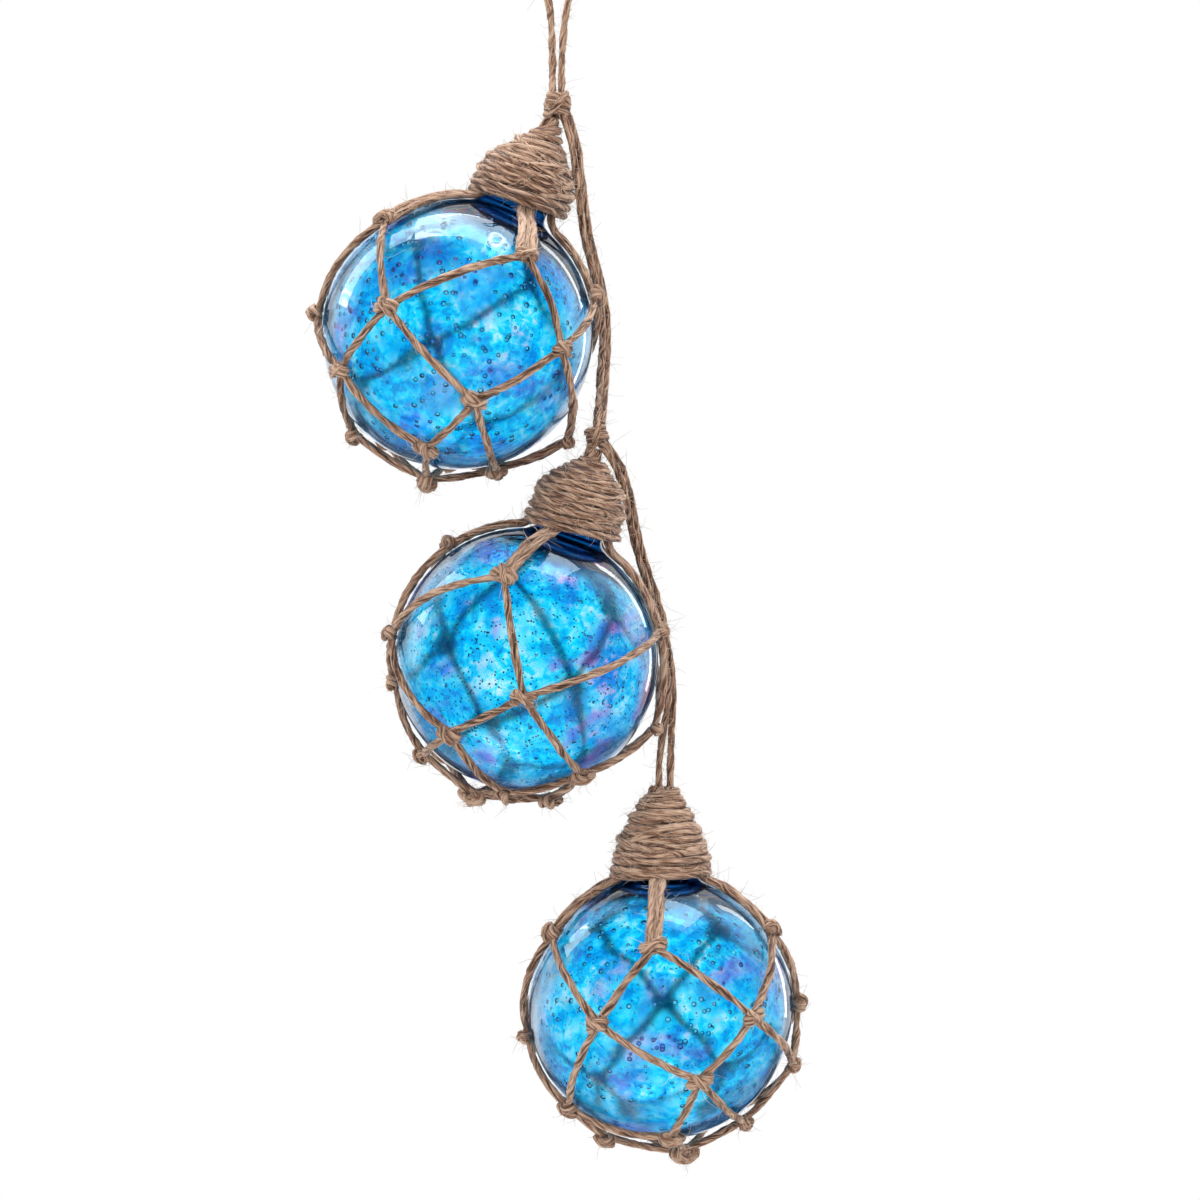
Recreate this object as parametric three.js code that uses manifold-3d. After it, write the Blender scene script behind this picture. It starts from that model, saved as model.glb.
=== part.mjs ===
// Three glass fishing floats in knotted twine nets, tied one below the other on one string.
// Millimetres, +Z up, front towards -Y. The origin is inside the crown of the hanging loop.
import * as THREE from 'three';
import { ConvexGeometry } from 'three/addons/geometries/ConvexGeometry.js';
import { mergeVertices } from 'three/addons/utils/BufferGeometryUtils.js';
import Module from 'manifold-3d';

const wasm = await Module();
wasm.setup();

// Twine: the net is tied with a thinner yarn than the string that carries the floats.
const netRadius = 0.95;
const cordRadius = 1.2;
const netLift = 1.55;             // from the glass to the middle of a net strand
const knotReach = 2.7;            // from the middle of a net knot to the end of each strand
const knotHalf = [4.1, 2.3, 2.3]; // half sizes of a net knot's lump: along, across, out
const closingHalf = [4.6, 2.8, 2.5]; // the same for the knot that closes a net
const tightHalf = [2.9, 2, 2];    // the same for a knot next to the string
const tightLift = 1.5;            // a knot lifted by more than this is next to the string
const netStep = 19;               // degrees of glass under one straight piece of a net strand
const columns = 5;                // knots in each row of a net
const gatheredSteps = 3;          // straight pieces of the pair of strands above a first knot

// Glass: each float is a closed ball with a short neck where it left the blowpipe.
const glassSides = 20;
const neckRadius = 9.6;
const neckHeight = 5;             // above the top of the ball
const neckEdge = 0.9;

// Whipping: a bell of twine turns, wound round the gathered ends of the net.
const capSides = 14;
const capTurns = 12;
const grooveDepth = 0.45;
const capBore = 13.4;             // radius of the hollow that takes the neck and the net's ends
const capRimRise = 2;             // the rim is cut back inside, to follow the ball
const boreClearance = 2;          // from the neck to the top of the hollow
const strandEndGap = 1.3;         // below the top of the hollow

// Each net has four rows of five knots, given as [azimuth, latitude, extra lift]: degrees and
// millimetres, azimuth 0 at the front and growing to the right. A hand-tied net isn't even.
const floats = [
  {
    name: 'upper', radius: 40.6, centre: [-30.3, -1, -114.1], lean: 24.3, nod: 0,
    capHeight: 43.3, capTilt: -1.8, bundle: 1.4,
    capOutline: [[15.6, 0], [15.3, 5], [14.5, 9.3], [12, 12.8], [9.2, 15.4], [6.2, 20], [2.6, 25]],
    rows: [
      [[-62, 30], [19, 41], [84, 39], [156, 36], [226, 32]],
      [[-28, -4], [48, 10], [122, 4], [192, -6], [274, -16]],
      [[22, -24], [88, -20, 3.5], [152, -30], [226, -38], [311, -36]],
      [[92, -50], [148, -58], [205, -62], [272, -69, 0.8], [376, -55, 0.8]],
    ],
    closing: [80, -77, 2.2],
  },
  {
    name: 'middle', radius: 39.4, centre: [-9.7, -3, -211.5], lean: 19.1, nod: 2,
    capHeight: 41.1, capTilt: -3.1, bundle: 1.6,
    capOutline: [[14.9, 0], [14.6, 4], [13.9, 9.5], [11.8, 14.2], [8.2, 17.6], [2.6, 22.4]],
    rows: [
      [[-92, 37], [-24, 33], [80, 31], [140, 34], [204, 35]],
      [[-82, -8], [4, -12], [88, -9, 2.4], [156, -8], [220, -8]],
      [[-27, -40], [56, -39], [122, -38], [190, -36], [256, -29]],
      [[30, -69, 0.8], [82, -61, 1], [160, -62], [226, -60], [282, -61, 0.8]],
    ],
    closing: [-40, -86, 2.2],
  },
  {
    name: 'lower', radius: 39.7, centre: [30.5, 4, -316.1], lean: 0, nod: 0,
    capHeight: 39.9, capTilt: 1, bundle: 0,
    capOutline: [[15.6, 0], [15.1, 3.8], [13.8, 8.1], [12.3, 11.7], [8.2, 19.6], [4.8, 25.2]],
    rows: [
      [[-69, 33], [-4, 30], [74, 35], [146, 33], [218, 34]],
      [[-27, -2], [40, 0], [96, 1], [178, -4], [263, -13]],
      [[17, -26], [84, -23, 1.8], [142, -32], [216, -36], [294, -44]],
      [[79, -53, 0.8], [138, -56], [210, -58], [287, -66, 0.8], [368, -60, 0.8]],
    ],
    closing: [51, -78, 2.2],
  },
];

// The hanging loop: down from the crown to the first knot on each side, half of it given here.
const loopHalf = [
  [0, 0, 1.2], [3.2, 0, 0.2], [5, 0, -2.6], [4.9, 0, -6.4], [3.8, 0, -10.6], [2.7, 0, -15.4],
  [2, 0, -21], [1.6, 0, -27], [1.4, -0.4, -33], [1.35, -0.8, -40.8],
];
const loopShift = -0.6;           // the knot hangs a little to the left of the crown at its foot

// The string is doubled between the knots. Each row is the middle of the pair.
const stringUpper = [
  [2.4, -0.8, -49.7], [4.1, -0.8, -55], [5.3, -0.5, -61.5], [6.3, 0.2, -69], [7.2, 1.1, -76.6],
  [8.3, 2.6, -84], [10, 4.6, -91.2], [11.9, 6.6, -98.2], [13.2, 8.2, -104.6], [13.8, 9, -111],
  [13.8, 8.7, -117.4], [13.4, 6.6, -123.6], [13, 2.6, -130.2], [12.2, -4.2, -140],
];
const stringLower = [
  [14.4, -5, -148.6], [16.7, -3.6, -152], [18.8, -1.4, -156.2], [20.3, 1.2, -161],
  [21.6, 3.3, -167], [22.8, 4.5, -173.4], [24.4, 5.5, -180], [26.6, 7, -186.8],
  [28.9, 8.5, -194], [30.9, 9.3, -201.6], [32.2, 9.1, -209.2], [33.3, 7.4, -216.8],
  [33.5, 5.6, -224.4], [32.7, 4.9, -232.6], [31.9, 4.4, -241.4], [31.7, 4, -250.3],
];
const pairOffset = { aside: 0.8, behind: 1.1 }; // from the middle of the pair to a strand

// Knots that join the doubled string, the loop and the gathered net ends.
const stringKnots = [
  { name: 'knot_upper', at: [-0.5, -0.8, -45.3], half: [3.9, 3.2, 3.5], turn: 20 },
  { name: 'knot_middle', at: [11.2, -5, -144.4], half: [3.7, 3.2, 3.4], turn: 15 },
];

const glassBlue = new THREE.MeshStandardMaterial({ color: 0x19b4f0, roughness: 0.05, metalness: 0 });
const juteBrown = new THREE.MeshStandardMaterial({ color: 0xa5805f, roughness: 0.95, metalness: 0 });

const radians = THREE.MathUtils.degToRad;

function direction(azimuth, latitude) {
  const across = Math.cos(radians(latitude));
  return new THREE.Vector3(
    across * Math.sin(radians(azimuth)),
    -across * Math.cos(radians(azimuth)),
    Math.sin(radians(latitude)),
  );
}

// A lathe about +Z from [radius, height] points, lowest first.
function turned(profile, sides) {
  const points = profile.map(([r, z]) => new THREE.Vector2(r, z));
  return new THREE.LatheGeometry(points, sides).rotateX(Math.PI / 2);
}

function roundSection(radius, sides) {
  const corners = [];
  for (let i = 0; i < sides; i += 1) {
    const angle = (2 * Math.PI * i) / sides;
    corners.push(new THREE.Vector2(radius * Math.cos(angle), radius * Math.sin(angle)));
  }
  return new THREE.Shape(corners);
}

// Two strands of the net side by side, a little apart.
const pairSection = new THREE.Shape([
  new THREE.Vector2(2.6 * netRadius, netRadius), new THREE.Vector2(-2.6 * netRadius, netRadius),
  new THREE.Vector2(-2.6 * netRadius, -netRadius), new THREE.Vector2(2.6 * netRadius, -netRadius),
]);

// A tube with one section at each of its points.
function tube(points, section) {
  const path = new THREE.CatmullRomCurve3(points);
  path.getUtoTmapping = (u) => u;
  return new THREE.ExtrudeGeometry(section, {
    steps: points.length - 1, bevelEnabled: false, extrudePath: path,
  });
}

function solid(geometry) {
  const bare = new THREE.BufferGeometry();
  bare.setAttribute('position', geometry.getAttribute('position'));
  bare.setIndex(geometry.index);
  const merged = mergeVertices(bare, 1e-4);
  return new wasm.Manifold(new wasm.Mesh({
    numProp: 3,
    vertProperties: new Float32Array(merged.attributes.position.array),
    triVerts: new Uint32Array(merged.index.array),
  }));
}

// One geometry from several that touch.
function joined(geometries) {
  let whole = solid(geometries[0]);
  for (const geometry of geometries.slice(1)) {
    whole = whole.add(solid(geometry));
  }
  const { vertProperties, triVerts } = whole.getMesh();
  const result = new THREE.BufferGeometry();
  result.setAttribute('position', new THREE.BufferAttribute(new Float32Array(vertProperties), 3));
  result.setIndex(new THREE.BufferAttribute(new Uint32Array(triVerts), 1));
  result.computeVertexNormals();
  return result;
}

function mesh(name, geometry, material) {
  const piece = new THREE.Mesh(geometry, material);
  piece.name = name;
  return piece;
}

function glassGeometry(radius) {
  const neckFoot = Math.asin(neckRadius / radius);
  const rings = glassSides / 2;
  const profile = [];
  for (let i = 0; i <= rings; i += 1) {
    const angle = Math.PI - ((Math.PI - neckFoot) * i) / rings;
    profile.push([i === 0 ? 0 : radius * Math.sin(angle), radius * Math.cos(angle)]);
  }
  const top = radius + neckHeight;
  profile.push([neckRadius, top - neckEdge], [neckRadius - neckEdge, top], [0, top]);
  return turned(profile, glassSides);
}

// The whipping stands on its own base plane, with each turn of twine as a rounded ridge.
function capGeometry({ radius, capHeight, capOutline, bundle }) {
  const boreTop = radius + neckHeight + boreClearance - capHeight;
  const outline = new THREE.SplineCurve(capOutline.map(([r, z]) => new THREE.Vector2(r, z)));
  const profile = [[0, boreTop], [capBore - 0.4, boreTop], [capBore, capRimRise]];
  outline.getSpacedPoints(2 * capTurns).forEach((point, i) => {
    const groove = i % 2 === 0 && i > 0 ? grooveDepth : 0;
    profile.push([point.x - groove, point.y]);
  });
  const [topRadius, topHeight] = capOutline.at(-1);
  if (bundle > 0) {
    profile.push([topRadius - 0.4, topHeight + bundle]);
  }
  profile.push([0, topHeight + bundle]);
  return turned(profile, capSides);
}

// The corners of a tube's section at one of its ends.
function sectionAt(geometry, end) {
  const position = geometry.getAttribute('position');
  const corners = [];
  for (let i = 0; i < position.count; i += 1) {
    const corner = new THREE.Vector3().fromBufferAttribute(position, i);
    if (corner.distanceTo(end) < knotReach && !corners.some((other) => other.equals(corner))) {
      corners.push(corner);
    }
  }
  return corners;
}

// A knot takes in the ends of its strands, with a lump on the outside.
function knotGeometry(at, ends, half) {
  const [along, across, out] = half;
  const outward = at.clone().normalize();
  const side = new THREE.Vector3(0, 0, 1).cross(outward).normalize();
  const up = outward.clone().cross(side);
  const spot = (x, y, z) => (
    at.clone().addScaledVector(side, x).addScaledVector(up, y).addScaledVector(outward, z)
  );
  const lump = [
    spot(along, 0, out / 3), spot(-along, 0, out / 3), spot(0, across, out / 2),
    spot(0, -across, out / 2), spot(along / 3, 0, out), spot(-along / 3, 0, out),
  ];
  return new ConvexGeometry([...ends.flat(), ...lump]);
}

// A strand that lies on the glass between two knots, stopping at the edge of each.
function strandPoints(from, to, base) {
  const angle = from.at.angleTo(to.at);
  const steps = Math.max(1, Math.ceil(THREE.MathUtils.radToDeg(angle) / netStep - 0.25));
  const trim = knotReach / (base * angle);
  const turn = new THREE.Quaternion().setFromUnitVectors(
    from.at.clone().normalize(),
    to.at.clone().normalize(),
  );
  const points = [];
  for (let i = 0; i <= steps; i += 1) {
    const part = THREE.MathUtils.lerp(trim, 1 - trim, i / steps);
    const spot = from.at.clone().normalize();
    spot.applyQuaternion(new THREE.Quaternion().slerp(turn, part));
    const extra = from.extra * (1 - part) ** 2 + to.extra * part ** 2;
    points.push(spot.multiplyScalar(base + extra));
  }
  return points;
}

// Two strands side by side, from the top of the bore, round the neck and down to a first knot.
function gatheredPoints(radius, latitude) {
  const besideNeck = neckRadius + netRadius + 0.35;
  const lift = radius + netLift;
  const points = [
    new THREE.Vector3(besideNeck, 0, radius + neckHeight + boreClearance - strandEndGap),
    new THREE.Vector3(besideNeck, 0, radius + 2.4),
    new THREE.Vector3(besideNeck + 0.9, 0, radius + 0.6),
  ];
  const highest = Math.acos((besideNeck + 3.2) / lift);
  const lowest = radians(latitude) + knotReach / lift;
  for (let i = 0; i <= gatheredSteps; i += 1) {
    const angle = THREE.MathUtils.lerp(highest, lowest, i / gatheredSteps);
    points.push(new THREE.Vector3(lift * Math.cos(angle), 0, lift * Math.sin(angle)));
  }
  return points;
}

function netGeometry(float) {
  const { radius, rows, closing } = float;
  const base = radius + netLift;
  const knots = [...rows.flat(), closing].map(([azimuth, latitude, extra = 0]) => ({
    at: direction(azimuth, latitude).multiplyScalar(base + extra),
    extra,
    half: extra > tightLift ? tightHalf : knotHalf,
    ends: [],
  }));
  knots.at(-1).half = closingHalf;
  const knotAt = (row, column) => knots[row * columns + ((column + columns) % columns)];
  const pieces = [];
  const strand = (from, to) => {
    const points = strandPoints(from, to, base);
    const piece = tube(points, roundSection(netRadius, 4));
    from.ends.push(sectionAt(piece, points[0]));
    to.ends.push(sectionAt(piece, points.at(-1)));
    pieces.push(piece);
  };
  for (let column = 0; column < columns; column += 1) {
    const [azimuth, latitude] = rows[0][column];
    const points = gatheredPoints(radius, latitude);
    const turn = radians(azimuth - 90);
    const piece = tube(points, pairSection).rotateZ(turn);
    const end = points.at(-1).applyAxisAngle(new THREE.Vector3(0, 0, 1), turn);
    knotAt(0, column).ends.push(sectionAt(piece, end));
    pieces.push(piece);
    for (let row = 0; row < rows.length - 1; row += 1) {
      strand(knotAt(row, column), knotAt(row + 1, column));
      strand(knotAt(row, column), knotAt(row + 1, column - 1));
    }
    strand(knotAt(rows.length - 1, column), knots.at(-1));
  }
  for (const { at, ends, half } of knots) {
    pieces.push(knotGeometry(at, ends, half));
  }
  return joined(pieces);
}

// One strand of a doubled string: its middle line moved aside and behind, square to its run.
function pairPoints(route, sign) {
  return route.map((spot, i) => {
    const before = new THREE.Vector3(...route[Math.max(i - 1, 0)]);
    const after = new THREE.Vector3(...route[Math.min(i + 1, route.length - 1)]);
    const run = after.sub(before).normalize();
    const aside = run.clone().cross(new THREE.Vector3(0, 1, 0)).normalize();
    const behind = aside.clone().cross(run);
    return new THREE.Vector3(...spot)
      .addScaledVector(aside, sign * pairOffset.aside)
      .addScaledVector(behind, sign * pairOffset.behind);
  });
}

function stringKnotGeometry({ half, turn }) {
  const lump = new THREE.IcosahedronGeometry(1, 1).scale(...half);
  const wrap = new THREE.TorusGeometry(half[0] - cordRadius, cordRadius + 0.2, 4, 9);
  wrap.rotateX(Math.PI / 2 + radians(turn)).rotateY(radians(turn));
  return joined([lump, wrap]);
}

const part = new THREE.Group();

for (const float of floats) {
  const frame = new THREE.Group();
  frame.position.set(...float.centre);
  frame.rotation.set(radians(float.nod), radians(float.lean), 0);
  frame.add(mesh(`glass_float_${float.name}`, glassGeometry(float.radius), glassBlue.clone()));
  frame.add(mesh(`net_${float.name}`, netGeometry(float), juteBrown.clone()));
  const cap = mesh(`whipped_cap_${float.name}`, capGeometry(float), juteBrown.clone());
  cap.position.z = float.capHeight;
  cap.rotation.y = radians(float.capTilt);
  frame.add(cap);
  part.add(frame);
}

for (const knot of stringKnots) {
  const piece = mesh(knot.name, stringKnotGeometry(knot), juteBrown.clone());
  piece.position.set(...knot.at);
  part.add(piece);
}

const cordSection = roundSection(cordRadius, 8);

const loopDown = loopHalf.map(([x, y, z]) => new THREE.Vector3(x, y, z));
const loopUp = loopHalf.slice(1).map(([x, y, z]) => new THREE.Vector3(-x, y, z)).reverse();
const loopPoints = [...loopUp, ...loopDown];
for (const point of loopPoints) {
  point.x += loopShift * THREE.MathUtils.smoothstep(-point.z, 0, 40);
}
part.add(mesh('hanging_loop', tube(loopPoints, cordSection), juteBrown.clone()));

for (const [name, route] of [['upper', stringUpper], ['lower', stringLower]]) {
  for (const [side, sign] of [['left', -1], ['right', 1]]) {
    const points = pairPoints(route, sign);
    part.add(mesh(`string_${name}_${side}`, tube(points, cordSection), juteBrown.clone()));
  }
}

export default part;
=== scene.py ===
# Three netted glass fishing floats on one jute string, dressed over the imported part.
# Lengths are in millimetres; makePiece, makeCord and the studio turn them into metres.
import math
import bpy
import numpy as np
from mathutils import Matrix, Vector


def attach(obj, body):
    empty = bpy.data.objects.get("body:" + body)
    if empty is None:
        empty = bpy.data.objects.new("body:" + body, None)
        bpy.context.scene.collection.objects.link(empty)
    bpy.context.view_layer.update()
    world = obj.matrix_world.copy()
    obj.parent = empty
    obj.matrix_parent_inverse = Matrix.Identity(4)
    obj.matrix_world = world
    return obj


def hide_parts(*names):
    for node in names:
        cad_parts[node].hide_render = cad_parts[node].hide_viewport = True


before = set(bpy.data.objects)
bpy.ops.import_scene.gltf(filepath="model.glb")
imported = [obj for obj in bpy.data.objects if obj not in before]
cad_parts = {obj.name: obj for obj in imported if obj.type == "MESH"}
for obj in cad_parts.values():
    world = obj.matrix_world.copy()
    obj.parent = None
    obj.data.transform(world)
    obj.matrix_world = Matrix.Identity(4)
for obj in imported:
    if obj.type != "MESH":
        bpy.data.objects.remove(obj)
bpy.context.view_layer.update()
print("frame loaded,", len(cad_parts), "nodes")
scene = bpy.context.scene

metresPerMm = 0.001
fullTurn = 2 * math.pi
anyPhase = 6.28                       # radians, for a wave that starts anywhere
aslant = [0.31, 0.52, 0.79]           # a direction that nothing here runs along


def linearColour(code):
    parts = [int(code[i:i + 2], 16) / 255 for i in (1, 3, 5)]
    return [p / 12.92 if p <= 0.04045 else ((p + 0.055) / 1.055) ** 2.4 for p in parts] + [1.0]


def colourStops(look, stops):         # a ramp's stops, from a look's own colours
    return [(place, linearColour(look[name])) for place, name in stops]


def emptyTree(owner):                 # for a material or the world
    owner.use_nodes = True
    owner.node_tree.nodes.clear()
    return owner.node_tree


def addNode(tree, kind, settings=None, links=None):
    node = tree.nodes.new(kind)
    for key, value in (settings or {}).items():
        if key == "stops":            # colours along a ramp
            while len(node.color_ramp.elements) < len(value):
                node.color_ramp.elements.new(0.5)
            for stop, (place, colour) in zip(node.color_ramp.elements, value):
                stop.position, stop.color = place, colour
        elif isinstance(key, int) or key in node.inputs:
            node.inputs[key].default_value = value
        else:
            setattr(node, key, value)
    for socket, source in (links or {}).items():
        tree.links.new(source, node.inputs[socket])
    return node


def unit(vectors):
    vectors = np.asarray(vectors, float)
    return vectors / np.maximum(np.linalg.norm(vectors, axis=-1, keepdims=True), 1e-9)


def direction(azimuth, latitude):     # azimuth 0 is the front, growing to the right
    a, e = math.radians(azimuth), math.radians(latitude)
    return np.array([math.cos(e) * math.sin(a), -math.cos(e) * math.cos(a), math.sin(e)])


def runAlong(path):                   # how far along the path each point is
    return np.concatenate([[0], np.cumsum(np.linalg.norm(np.diff(path, axis=0), axis=1))])


def smoothPath(points, step):         # Catmull-Rom through the points, at an even step
    finePerSpan = 12
    p = np.asarray(points, float)
    p = np.vstack([2 * p[0] - p[1], p, 2 * p[-1] - p[-2]])
    t = np.linspace(0, 1, finePerSpan, endpoint=False)[:, None]
    rows = []
    for a, b, c, d in zip(p[:-3], p[1:-2], p[2:-1], p[3:]):
        rows.append(0.5 * (2 * b + (c - a) * t + (2 * a - 5 * b + 4 * c - d) * t ** 2
                           + (3 * b - a - 3 * c + d) * t ** 3))
    fine = np.vstack(rows + [p[-2][None]])
    run = runAlong(fine)
    at = np.linspace(0, run[-1], max(3, int(round(run[-1] / step)) + 1))
    return np.stack([np.interp(at, run, fine[:, k]) for k in range(3)], axis=1)


def pathFrames(path):                 # tangent and two crosswise directions, carried without twist
    tangent = unit(np.gradient(path, axis=0))
    start = np.cross(tangent[0], [0, 0, 1] if abs(tangent[0][2]) < 0.9 else [1, 0, 0])
    across = [unit(start)]
    for t in tangent[1:]:
        v = across[-1] - t * np.dot(across[-1], t)
        across.append(v / np.linalg.norm(v))
    across = np.array(across)
    return tangent, across, np.cross(tangent, across)


def wander(count, rng, every):        # a smooth random run between about -1 and 1
    knots = rng.normal(0, 0.5, max(3, int(count / every) + 3))
    at = np.linspace(0, len(knots) - 1, count)
    low = np.floor(at).astype(int).clip(0, len(knots) - 2)
    f = at - low
    f = f * f * (3 - 2 * f)
    return knots[low] * (1 - f) + knots[low + 1] * f


def tubeFaces(sides, rings):          # for rings of points in order, then one point at each end
    ring = np.arange(sides)
    nextRing = (ring + 1) % sides
    rows = (np.arange(rings - 1) * sides)[:, None]
    quads = np.stack([rows + ring, rows + nextRing, rows + sides + nextRing,
                      rows + sides + ring], axis=-1).reshape(-1, 4)
    last, ends = (rings - 1) * sides, rings * sides
    tris = np.vstack([
        np.stack([np.full(sides, ends), nextRing, ring], axis=1),
        np.stack([np.full(sides, ends + 1), last + ring, last + nextRing], axis=1)])
    return quads, tris


# Jute is two loose yarns laid softly together, so a section has two lobes that turn along it
# and uneven ridges where the strands of bast lie side by side.
twineLook = {
    "plies": 2, "pitch": 32.0, "unevenLay": 0.12,          # the pitch is one full turn
    "yarnOffset": 0.17, "slub": 0.12, "ridge": 0.085,      # as shares of the twine's radius
    # painted shade in the grooves: how far out of it a point stands, from its yarn and its ridges
    "litCrestBase": 0.3, "litCrestOfYarn": 0.45, "litCrestOfRidges": 0.25,
    "sides": 10, "step": 0.8,
}


def twineTube(path, radius, rng, tone=0.0, sides=None):
    # The lay attribute runs along the twine and turns with its yarns; shade holds how far a point
    # stands out of the grooves, which gives painted groove shade, the piece's tone and a number of
    # the strand's own.
    sides = sides or twineLook["sides"]
    tangent, across, over = pathFrames(path)
    count = len(path)
    run = runAlong(path)
    angle = fullTurn * np.arange(sides) / sides
    turn = fullTurn * (run / twineLook["pitch"] + rng.random()
                       + twineLook["unevenLay"] * wander(count, rng, 7))
    lay = angle[None, :] - turn[:, None]
    perYarn, offset = fullTurn / twineLook["plies"], twineLook["yarnOffset"]

    def lobeAt(turned):               # how far out the yarn's surface is
        aside = offset * np.sin(turned)
        return offset * np.cos(turned) + np.sqrt((1 - offset) ** 2 - aside ** 2)

    lobe = lobeAt(np.mod(lay, perYarn) - perYarn / 2)
    groove = lobeAt(perYarn / 2)
    slub = 1 + twineLook["slub"] * wander(count, rng, 6)
    drift = np.stack([wander(count, rng, 9) for _ in range(2)], axis=1)
    ridges = (np.sin(3 * lay + 5 * drift[:, :1] + 6 * rng.random())
              + 0.8 * np.sin(5 * lay + 6 * drift[:, 1:] + 6 * rng.random()))
    # painted shade darkens the grooves between yarns and ridges, painted light brightens the
    # crests
    litCrest = np.clip(twineLook["litCrestOfYarn"] * (lobe - groove) / (1 - groove)
                    + twineLook["litCrestBase"] + twineLook["litCrestOfRidges"] * ridges, 0, 1)
    lobe = lobe * (1 + twineLook["ridge"] * (ridges - 0.6))
    toEnd = np.minimum(run, run[-1] - run) / radius
    rounded = np.sqrt(np.clip(toEnd * (2 - np.clip(toEnd, 0, 1)), 0.05, 1))
    size = radius * lobe * (slub * rounded)[:, None]
    verts = (path[:, None, :] + size[..., None] * (
        np.cos(angle)[None, :, None] * across[:, None, :]
        + np.sin(angle)[None, :, None] * over[:, None, :])).reshape(-1, 3)
    verts = np.vstack([verts, path[0], path[-1]])
    quads, tris = tubeFaces(sides, count)
    start = rng.random() * 400        # so that no two strands share their streaks
    layAt = np.stack([np.broadcast_to((run + start)[:, None], lay.shape),
                      radius * np.cos(lay), radius * np.sin(lay)], axis=-1).reshape(-1, 3)
    layAt = np.vstack([layAt, [[start, 0, 0]], [[start + run[-1], 0, 0]]])
    shade = np.zeros((len(verts), 3))
    shade[:-2, 0] = litCrest.ravel()
    shade[:, 1] = tone
    shade[:, 2] = rng.random()
    return {"verts": verts, "quads": quads, "tris": tris, "lay": layAt, "shade": shade,
            "path": path, "tangent": tangent, "radius": radius}


def turnedPart(profile, sides, shade=(0.2, 0.0, 0.5)):   # a lathe with both ends on the axis
    profile = np.asarray(profile, float)
    ends, rings = profile[[0, -1]], profile[1:-1]
    angle = fullTurn * np.arange(sides) / sides
    verts = np.stack([rings[:, :1] * np.cos(angle), rings[:, :1] * np.sin(angle),
                      np.repeat(rings[:, 1:], sides, axis=1)], axis=-1).reshape(-1, 3)
    verts = np.vstack([verts, [0, 0, ends[0][1]], [0, 0, ends[1][1]]])
    quads, tris = tubeFaces(sides, len(rings))
    return {"verts": verts, "quads": quads, "tris": tris, "lay": verts,
            "shade": np.tile(shade, (len(verts), 1))}


def makePiece(name, parts, material, replaced=()):
    verts, faces, lays, shades, base = [], [], [], [], 0
    for part in parts:
        verts.append(part["verts"])
        faces += (part["quads"] + base).tolist() + (part["tris"] + base).tolist()
        lays.append(part["lay"])
        shades.append(part["shade"])
        base += len(part["verts"])
    mesh = bpy.data.meshes.new(name)
    mesh.from_pydata((np.vstack(verts) * metresPerMm).tolist(), [], faces)
    for label, values in (("lay", lays), ("shade", shades)):
        attribute = mesh.attributes.new(label, "FLOAT_VECTOR", "POINT")
        attribute.data.foreach_set("vector", np.vstack(values).astype(np.float32).ravel())
    mesh.shade_smooth()
    mesh.materials.append(material)
    piece = bpy.data.objects.new(name, mesh)
    scene.collection.objects.link(piece)
    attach(piece, "root")
    if replaced:
        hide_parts(*replaced)
    return piece


# The camera looks level along +Y at the middle of the string of floats.
cameraView = {"at": (12.3, -1250, -193.8), "lens": 125, "sensor": 36}
camera = bpy.data.objects.new("camera", bpy.data.cameras.new("camera"))
camera.location = [v * metresPerMm for v in cameraView["at"]]
camera.rotation_euler = (math.pi / 2, 0, 0)
camera.data.lens = cameraView["lens"]
camera.data.sensor_width = cameraView["sensor"]
scene.collection.objects.link(camera)
scene.camera = camera


# Jute twine, spun and laid from retted bast fibre, undyed. To the eye it is matt and hairy,
# light brown with fine pale streaks along its yarns; the darker grooves between them are painted
# shade.
juteLook = {
    # the groove and shade colours are the dark end, reached in the painted shade of the grooves
    "groove": "#342117", "shade": "#684836", "body": "#906B54", "pale": "#C6A58C",
    "streakMm": 0.46, "patchMm": 7.0, "alongFibre": 0.1,
    "base": -0.74, "ofLitCrest": 0.4, "ofStreak": 1.9, "ofPatch": 0.35, "ofStrand": 0.12,
    "ofTone": 0.18,                                        # what makes a point paler
    "roughness": 0.92, "specular": 0.2, "sheen": 0.2, "sheenRoughness": 0.6, "bumpMm": 0.3,
}


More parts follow.
